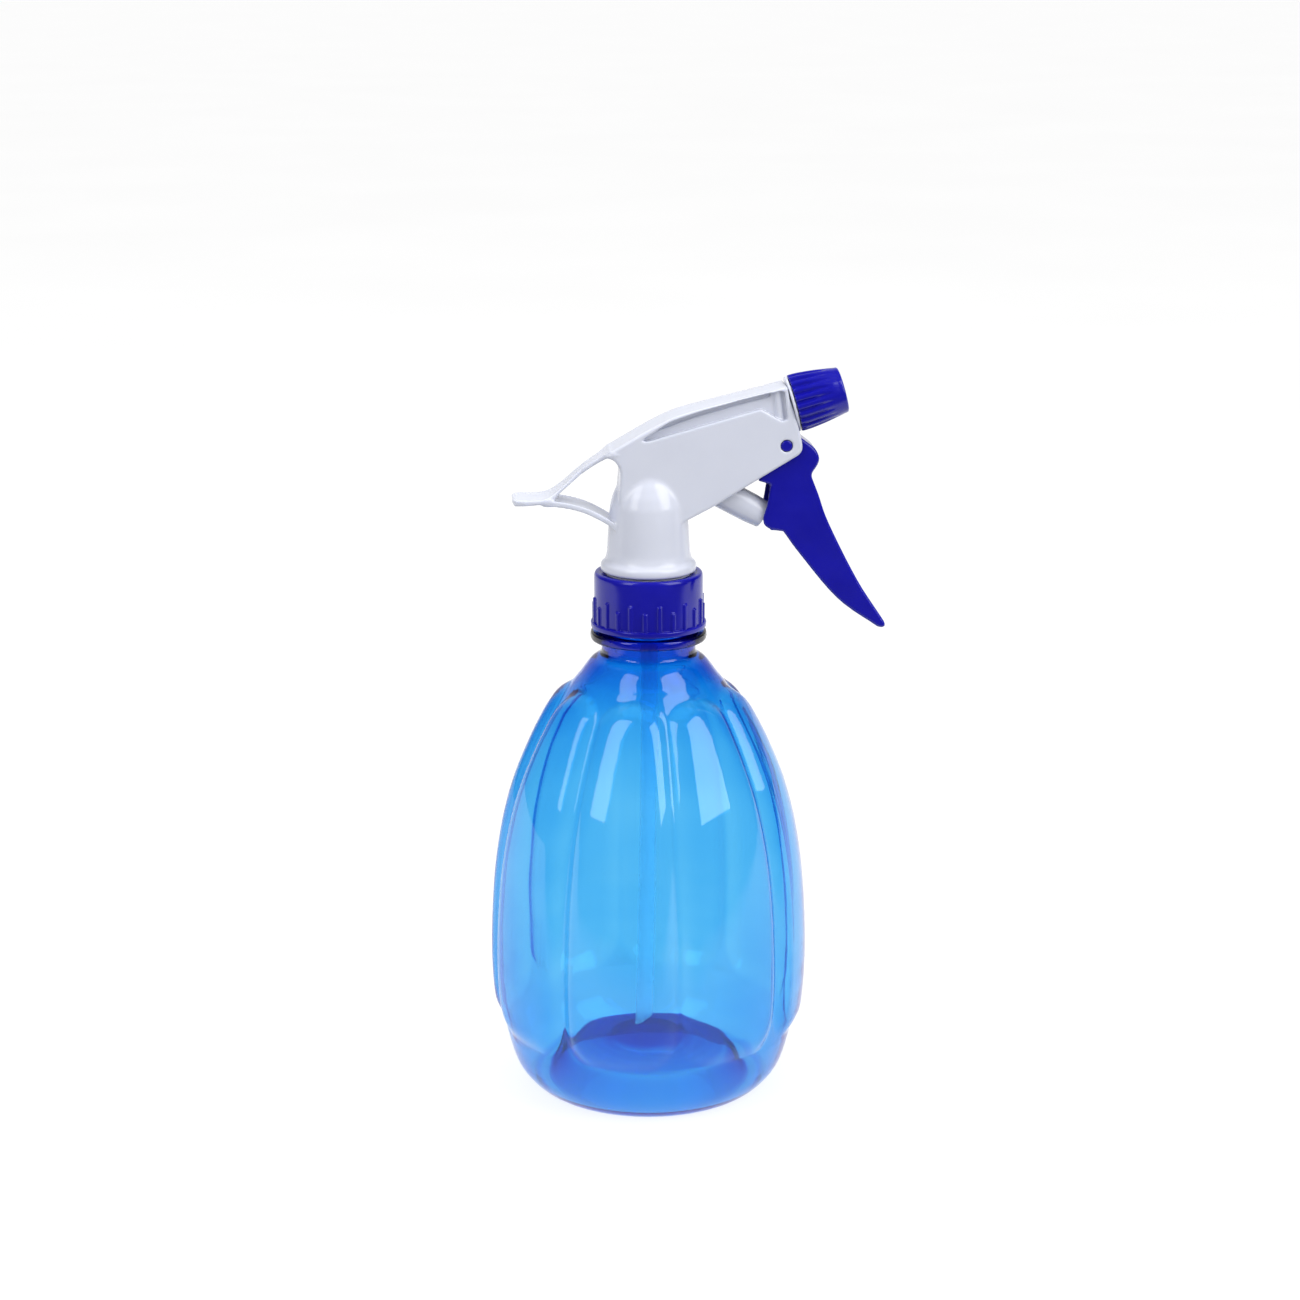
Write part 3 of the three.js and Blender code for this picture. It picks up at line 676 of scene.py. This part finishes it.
def make_tail(grid):
    """The hanging tail: a strip that carries the crown on, and a leaf that ties it to the stem."""
    top = curve([
        (-38.3, 173), (-37, 173.5), (-29.2, 173.7), (-24.4, 176.7), (-18.7, 181.8), (-11, 186.8),
    ], 26)
    under = [
        (-9, 186), (-11.8, 184.9), (-16.4, 181.9), (-19, 180), (-25.2, 174.8), (-27.4, 172.4),
        (-37.6, 171.7),
    ]
    strip = outline_distance(top + under, grid.x, grid.z)
    stations = [-38.3, -37.4, -35, -29, -24, -19, -14, -10]
    width = np.interp(grid.x, stations, [4.2, 5.9, 6.8, 6.6, 4.6, 3.4, 4.4, 7])
    side = np.abs(grid.y) - width
    strip = rounded_both(strip, side, 0.45)
    leaf_line = curve([(-29, 172.3), (-24.4, 172.0), (-18.2, 170.4), (-12.6, 167.6), (-9.2, 165.2)], 24)
    across = curve_distance(leaf_line, grid.x, grid.z)
    rim = np.clip((np.abs(grid.y) - 5) / 1.2, 0, 1)
    leaf = rounded_both(across - 0.5 - 0.35 * rim, np.abs(grid.y) - 6.2, 0.3)
    return join(strip, leaf, 1.2)


def rounded_both(first, second, edge):
    """Where both shapes are, with the rim between them rounded."""
    a, b = first + edge, second + edge
    return np.minimum(np.maximum(a, b), 0) + np.hypot(np.maximum(a, 0), np.maximum(b, 0)) - edge


def curve_distance(points, px, pz):
    """Distance to an open line of (x, z) points."""
    nearest = np.full(np.broadcast(px, pz).shape, np.inf)
    for (ax, az), (bx, bz) in zip(points, points[1:]):
        ex, ez = bx - ax, bz - az
        wx, wz = px - ax, pz - az
        share = np.clip((wx * ex + wz * ez) / (ex * ex + ez * ez), 0, 1)
        nearest = np.minimum(nearest, (wx - ex * share) ** 2 + (wz - ez * share) ** 2)
    return np.sqrt(nearest)


def hollowed(grid, body):
    """The shroud with its stem bore, pump pocket, barrel slot, side recesses and pivot hole."""
    pocket = [
        (-6.6, 168.2), (-6.6, 181.5), (-2.6, 186.8), (1, 188.2), (30.3, 196.6), (36.4, 193.4), (46, 194.5),
        (46, 178), (30, 168), (14, 163), (11.9, 166.4), (9.6, 168.2),
    ]
    slot = [
        (-0.6, 184), (-0.6, 190.4), (0.4, 191.6), (10, 194.4), (20.3, 197.3), (31, 200.3), (45, 204.4),
        (45, 186),
    ]
    recess = [
        (-2.4, 189.9, 0.5), (-0.6, 189.6, 0.8), (30.6, 198.3, 0.6), (36.5, 194.9, 0.6), (38.1, 195.3, 0.8),
        (37.2, 203.1, 0.9), (36, 203.3, 0.8), (25, 200.6, 1), (13.7, 197.6, 1), (5.4, 194.8, 1),
        (1.3, 192.3, 1),
    ]
    upper = [
        (1.6, 192.2, 0.6), (12, 195.9, 0.8), (24, 199.2, 0.8), (33.4, 201.5, 0.8), (33.2, 202.7, 0.5),
        (25, 200.7, 1), (13.7, 197.7, 1), (5.4, 194.9, 1),
    ]
    shallow = np.maximum(slab(grid, eased(recess), HEAD_HALF + 2), 4.9 - np.abs(grid.y))
    deep = np.maximum(slab(grid, eased(upper), HEAD_HALF + 2), 4.1 - np.abs(grid.y))
    rib = np.hypot((grid.x - 35.7) + 0.13 * (grid.z - 199), np.abs(grid.y) - 4.7) - 1.15
    stem_bore = [(0, 150), (9.9, 150), (9.9, 165), (5.7, 169), (0, 169)]
    pivot = np.hypot(grid.x - PIVOT_X, grid.z - PIVOT_Z) - PIN_HOLE
    body = cut(body, slab(grid, pocket, 5.7), 0.3)
    body = cut(body, slab(grid, slot, 3.75))
    body = cut(body, cut(join(shallow, deep, 0.4), rib, 0.4), 0.5)
    body = cut(body, pivot + 0 * grid.y, 0.4)
    body = cut(body, spun_on(grid, stem_bore), 0.4)
    return moulded("head_shroud", grid, body, "shroud", WHITE)


def make_pump():
    """The pump body inside the head: flange, column, piston cylinder, barrel and its front disc."""
    grid = Grid((-14, -14, 147), (51.5, 14, 207), 0.4)
    column = spun_on(grid, eased([
        (0, 147.8, 0), (13.2, 147.8, 0.3), (13.2, 148.9, 0.3), (11.9, 148.9, 0.3), (11.9, 151.5, 0.4),
        (7.6, 151.5, 0.6), (7.6, 164.5, 0.8), (5.4, 164.5, 0.5), (5.4, 182.4, 0.8), (0, 182.4, 0),
    ]))
    cylinder = spun_on(grid, eased([(0, 18, 0), (5.5, 18, 0.5), (5.5, 35.6, 0.8), (0, 35.6, 0)]), PISTON)
    barrel = spun_on(grid, eased([
        (0, 1.5, 0), (3.4, 1.5, 0.6), (3.4, 41.15, 0.4), (7.9, 41.15, 0.3), (7.9, 41.95, 0.3),
        (5, 41.95, 0.3), (5, 45.7, 0.4), (3.9, 45.7, 0.2), (3.9, 51.4, 0.4), (0, 51.4, 0),
    ]), BARREL)
    body = join(join(column, cylinder, 1.0), barrel, 1.0)
    bores = [
        spun_on(grid, [(0, 146.8), (4.7, 146.8), (4.7, 164), (0, 164)]),
        spun_on(grid, [(0, 16), (4.5, 16), (4.5, 34.2), (0, 34.2)], PISTON),
        spun_on(grid, [(0, 3.5), (1.3, 3.5), (1.3, 12.3), (2.35, 12.3), (2.35, 53), (0, 53)], BARREL),
    ]
    for bore in bores:
        body = cut(body, bore, 0.3)
    return moulded("pump_core", grid, body, "pump_body", WHITE)


# ---- trigger ----

def make_trigger():
    """The trigger: a channel open to the rear, with its boss, pins and the web that works the piston."""
    grid = Grid((28.5, -8, 133.8), (68.2, 8, 192.8), 0.32)
    front = curve([(47.2, 173.9), (50.3, 165.5), (58.6, 149.2), (66.5, 137)], 16)
    rear = curve([(64.6, 135.5), (53, 143.9), (42.2, 156.8), (37.4, 163.4)], 16)
    shoulder = [
        (36, 190.4, 1), (40.4, 190.7, 0.8), (42.3, 189.8, 1), (46.3, 186.8, 1.6), (47.5, 184, 1.6),
        (46.8, 182, 1.2), (45, 179.5, 1.2),
    ]
    tip = [(66.9, 135.8, 0.6), (66, 135.2, 0.6)]
    heel = [
        (33.4, 164.2, 0.8), (31.9, 165.4, 0.8), (31.6, 167.3, 0.8), (32.8, 171.1, 0.6), (33.7, 176.8, 0.5),
        (30.2, 177.9, 0.3), (33.4, 184.4, 1),
    ]
    side = shoulder + [(x, z, 0) for x, z in front] + tip + [(x, z, 0) for x, z in rear] + heel
    channel = [
        (30, 192), (36, 185.5), (42, 183), (43, 179), (45, 173.4), (48.2, 165), (55.4, 150.6), (60.4, 142.4),
        (52, 138), (20, 160),
    ]
    body = slab(grid, eased(side), TRIGGER_HALF, TRIGGER_EDGE)
    body = cut(body, slab(grid, eased(channel, 1), TRIGGER_INNER, 0.8), 0.4)
    web_outline = [(34, 163.9), (36.5, 163.9), (39.5, 180.5), (36, 183), (35, 176.5)]
    web = slab(grid, web_outline, TRIGGER_INNER + 0.4)
    from_pivot = np.hypot(grid.x - PIVOT_X, grid.z - PIVOT_Z)
    boss = rounded_both(from_pivot - BOSS_RADIUS, np.abs(grid.y) - TRIGGER_HALF, 0.2)
    pin = rounded_both(from_pivot - PIN_RADIUS, np.abs(grid.y) - HEAD_HALF + 0.1, 0.35)
    body = join(join(join(body, web, 0.6), boss, 0.3), pin, 0.3)
    return moulded("trigger_lever", grid, body, "trigger", BLUE)


# ---- nozzle ----

def make_nozzle():
    """The nozzle: flutes that run from its rear edge and fade out on the way to the tip."""
    back, tip = 42.2, 56.3

    def flutes(angle, radius, height):
        groove = (1 - np.cos(angle * FLUTES)) / 2
        fade = np.clip((53.2 - height) / 6.5, 0, 1)
        outside = np.clip((radius - 6.2) / 0.3, 0, 1) * (height < 54)
        inside = (radius > 6.9) & ((height > 43.5) | (radius > 7.5))
        return radius - FLUTE_DEPTH * groove ** 2 * fade * outside * inside, height

    side = curve([(8.1, 43.4), (8, 45.5), (7.55, 49.4), (6.95, 53), (6.55, 55)], 40)
    profile = [(0.5, tip, 0.12), (6.4, tip, 0.9)]
    profile += [(r, z, 0) for r, z in reversed(side)]
    profile += [
        (8.05, back, 0.3), (7, back, 0.2), (7, 44.4, 0.3), (5.3, 44.8, 0.3), (5.3, 52.4, 0.3),
        (0.5, 52.4, 0.1),
    ]
    return turned_piece(
        "nozzle_shell", profile, "nozzle_cap", BLUE, to=BARREL, segments=FLUTES * 16,
        shape=flutes,
    )


# ---- piston and the pieces inside ----

def make_piston():
    """The piston: a hollow rod with a groove for each of its two lip rings."""
    profile = [
        (0, 0.5), (3.1, 0.5, 0.2), (3.3, 0, 0.2), (3.9, 0.1, 0.3), (4.2, 4.6, 0.5), (4.2, 19.2), (3.4, 19.2),
        (3.4, 20.4), (4.2, 20.4), (4.2, 22.2), (3.4, 22.2), (3.4, 23.6), (4.2, 23.6), (4.2, 25.4, 0.4),
        (2.9, 25.4), (2.9, 8), (0, 8),
    ]
    return turned_piece("piston_rod", profile, "piston", WHITE, to=PISTON)


def make_tube():
    """The dip tube, cut on a slant at its foot."""
    top, middle, tip, bow, drift = 151.0, 80, 13.3, 0.9, -1.5
    outer, inner, cut_height, cut_slope = 2.5, 1.9, 16.4, 0.65
    segments, rows = 48, 90
    t = np.linspace(0, 1, rows)[:, None]
    centre_x = 2 * t * (1 - t) * bow + t * t * drift
    centre_z = (1 - t) ** 2 * top + 2 * t * (1 - t) * middle + t * t * tip
    angle = np.arange(segments)[None, :] * 2 * math.pi / segments
    rings = []
    for radius in (outer, inner):
        x = centre_x + radius * np.cos(angle)
        y = radius * np.sin(angle) + 0 * t
        z = centre_z + 0 * angle
        slant = cut_height + cut_slope * (x - drift)
        rings.append(np.stack([x, y, np.maximum(z, slant)], -1))
    loop = np.concatenate([rings[0], rings[1][::-1]])
    points = loop.reshape(-1, 3)
    count = 2 * rows
    i, j = np.meshgrid(np.arange(count), np.arange(segments), indexing="ij")
    here, after, right = i * segments, (i + 1) % count * segments, (j + 1) % segments
    faces = np.stack([here + j, here + right, after + right, after + j], -1).reshape(-1, 4)
    return place("dip_tube_wall", points, faces.tolist(), "dip_tube", TUBE)


def coil_points(radius, wire, low, high, turns, around=14, steps=40):
    """Points and faces of a compression spring along Z, with a closed turn at each end."""
    turn = np.linspace(0, turns, int(turns * steps) + 1)
    climb = high - low - 2 * wire
    rise = np.interp(turn, [0, 1, turns - 1, turns], [0, 2.1 * wire, climb - 2.1 * wire, climb])
    angle = 2 * math.pi * turn
    centre = np.stack([radius * np.cos(angle), radius * np.sin(angle), low + wire + rise], -1)
    along = np.gradient(centre, axis=0)
    along /= np.linalg.norm(along, axis=1, keepdims=True)
    outward = np.stack([np.cos(angle), np.sin(angle), 0 * angle], -1)
    across = np.cross(along, outward)
    points = []
    for bearing in np.arange(around) * 2 * math.pi / around:
        points.append(centre + wire * (math.cos(bearing) * outward + math.sin(bearing) * across))
    points = np.stack(points, 1).reshape(-1, 3)
    faces = []
    for i in range(len(turn) - 1):
        here, after = i * around, (i + 1) * around
        for j in range(around):
            right = (j + 1) % around
            faces.append((here + j, here + right, after + right, after + j))
    faces.append(tuple(range(around)))
    faces.append(tuple(range(len(turn) * around - 1, (len(turn) - 1) * around - 1, -1)))
    return points, faces


def make_spring(node, line, radius, wire, low, high, turns):
    """A spring coiled along a line, standing for its CAD node."""
    points, faces = coil_points(radius, wire, low, high, turns)
    piece = place(node + "_wire", points, faces, node, STEEL, line)
    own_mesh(piece)


def make_springs():
    """The piston's return spring and the spring that holds the outlet ball down."""
    make_spring(
        "return_spring", PISTON, radius=2.25, wire=0.36, low=8.4, high=33.7, turns=9,
    )
    make_spring(
        "outlet_spring", BARREL, radius=1.65, wire=0.23, low=15.8, high=24.85, turns=6,
    )


def finish_inner_nodes():
    """The small inner pieces keep their CAD shapes and take the fine materials."""
    finishes = {
        "neck_gasket": RUBBER, "vent_seal": RUBBER, "piston_seal": RUBBER, "nozzle_seal": RUBBER,
        "intake_ball": STEEL, "outlet_ball": STEEL,
        "tube_retainer": WHITE, "ball_stop": WHITE, "piston_guide": WHITE, "spinner": WHITE,
    }
    for node, material in finishes.items():
        for material_slot in frame["nodes"][node].material_slots:
            material_slot.material = material


make_bottle()
make_cap()
make_head()
make_pump()
make_trigger()
make_nozzle()
make_piston()
make_tube()
make_springs()
finish_inner_nodes()


# ---- studio, metres ----

MIDDLE_HEIGHT = 0.11

def make_floor():
    """A pale table lit from beneath, dimmer where it only lights the bottle or is mirrored in it."""
    reach, glow, dimmed, dark_grey = 30, 0.84, 0.62, 0.1
    mesh = bpy.data.meshes.new("floor")
    corners = [(-reach, -reach, 0), (reach, -reach, 0), (reach, reach, 0), (-reach, reach, 0)]
    mesh.from_pydata(corners, [], [(0, 1, 2, 3)])
    material, tree, shader = new_material("pale_floor")
    pale = two_tone(tree, noise(tree, 3, 3), (0.19, 0.19, 0.19), (0.21, 0.21, 0.21))
    tree.links.new(pale, shader.inputs["Base Color"])
    shader.inputs["Roughness"].default_value = 0.9
    shader.inputs["Specular IOR Level"].default_value = 0.1
    shader.inputs["Emission Color"].default_value = (1, 1, 1, 1)
    shader.inputs["Emission Strength"].default_value = glow
    dark = tree.nodes.new("ShaderNodeBsdfDiffuse")
    dark.inputs["Color"].default_value = (dark_grey, dark_grey, dark_grey, 1)
    path = tree.nodes.new("ShaderNodeLightPath")
    mirrored = mirrored_ahead(tree, "Object", -0.14, -0.26)
    share = maths(tree, "MULTIPLY_ADD", path.outputs["Is Diffuse Ray"], dimmed, mirrored)
    mix = tree.nodes.new("ShaderNodeMixShader")
    tree.links.new(share, mix.inputs["Fac"])
    tree.links.new(shader.outputs["BSDF"], mix.inputs[1])
    tree.links.new(dark.outputs["BSDF"], mix.inputs[2])
    tree.links.new(mix.outputs["Shader"], tree.nodes["Material Output"].inputs["Surface"])
    mesh.materials.append(material)
    floor = bpy.data.objects.new("floor", mesh)
    bpy.context.scene.collection.objects.link(floor)


def mirrored_ahead(tree, coordinates, behind, ahead_of):
    """1 for what is mirrored from in front of the bottle, fading to 0 for what is further back."""
    path = tree.nodes.new("ShaderNodeLightPath")
    only_glossy = maths(tree, "SUBTRACT", path.outputs["Is Glossy Ray"], path.outputs["Is Transmission Ray"])
    where = tree.nodes.new("ShaderNodeTexCoord")
    parts = tree.nodes.new("ShaderNodeSeparateXYZ")
    tree.links.new(where.outputs[coordinates], parts.inputs["Vector"])
    ahead = ranged(tree, parts.outputs["Y"], behind, ahead_of)
    return maths(tree, "MULTIPLY", maths(tree, "MAXIMUM", only_glossy, 0.0), ahead)


def softbox(name, towards, distance, wide, tall, radiance, mirrored=True):
    """An area light that faces the bottle's middle."""
    light = bpy.data.lights.new(name, "AREA")
    light.shape = "RECTANGLE"
    light.size, light.size_y = wide, tall
    light.energy = radiance * math.pi * wide * tall
    lamp = bpy.data.objects.new(name, light)
    target = Vector((AXIS_X, 0, MIDDLE_HEIGHT))
    direction = Vector(towards).normalized()
    lamp.location = target + direction * distance
    lamp.rotation_mode = "QUATERNION"
    lamp.rotation_quaternion = (-direction).to_track_quat("-Z", "Y")
    lamp.visible_camera = False
    lamp.visible_glossy = mirrored
    bpy.context.scene.collection.objects.link(lamp)


def make_world():
    """A white room where it is seen, dimmer where it only lights and nearly dark where it is mirrored."""
    lit, mirrored, seen_more = 0.65, 0.1, 0.35
    world = bpy.data.worlds.new("white_room")
    world.use_nodes = True
    tree = world.node_tree
    background = tree.nodes["Background"]
    background.inputs["Color"].default_value = (1, 1, 1, 1)
    path = tree.nodes.new("ShaderNodeLightPath")
    seen = maths(tree, "MAXIMUM", path.outputs["Is Camera Ray"], path.outputs["Is Transmission Ray"])
    lighting = ranged(tree, mirrored_ahead(tree, "Generated", 0.9, 0.55), 0.0, 1.0, lit, mirrored)
    strength = maths(tree, "MULTIPLY_ADD", seen, seen_more, lighting)
    tree.links.new(strength, background.inputs["Strength"])
    bpy.context.scene.world = world


def make_camera():
    """The photograph's view: from the front, a little to the left, looking down at 14.6 degrees."""
    camera = bpy.data.cameras.new("camera")
    camera.sensor_width = 36
    camera.lens = 74.5
    camera.clip_start, camera.clip_end = 0.01, 100
    eye = bpy.data.objects.new("camera", camera)
    eye.location = (AXIS_X - 0.0511, -0.7369, 0.321)
    eye.rotation_euler = (math.radians(75.4), 0, math.radians(-4))
    bpy.context.scene.collection.objects.link(eye)
    bpy.context.scene.camera = eye


make_floor()
softbox("softbox_left", (-0.62, -0.52, 0.62), distance=1.2, wide=0.46, tall=1.05, radiance=3.2)
softbox("softbox_right", (0.66, -0.50, 0.60), distance=1.2, wide=0.68, tall=1.05, radiance=3.8)
softbox("overhead", (0, 0.15, 1), distance=1.3, wide=1.2, tall=1.2, radiance=2.2, mirrored=False)
make_world()
make_camera()
bpy.context.scene.view_settings.view_transform = "Standard"
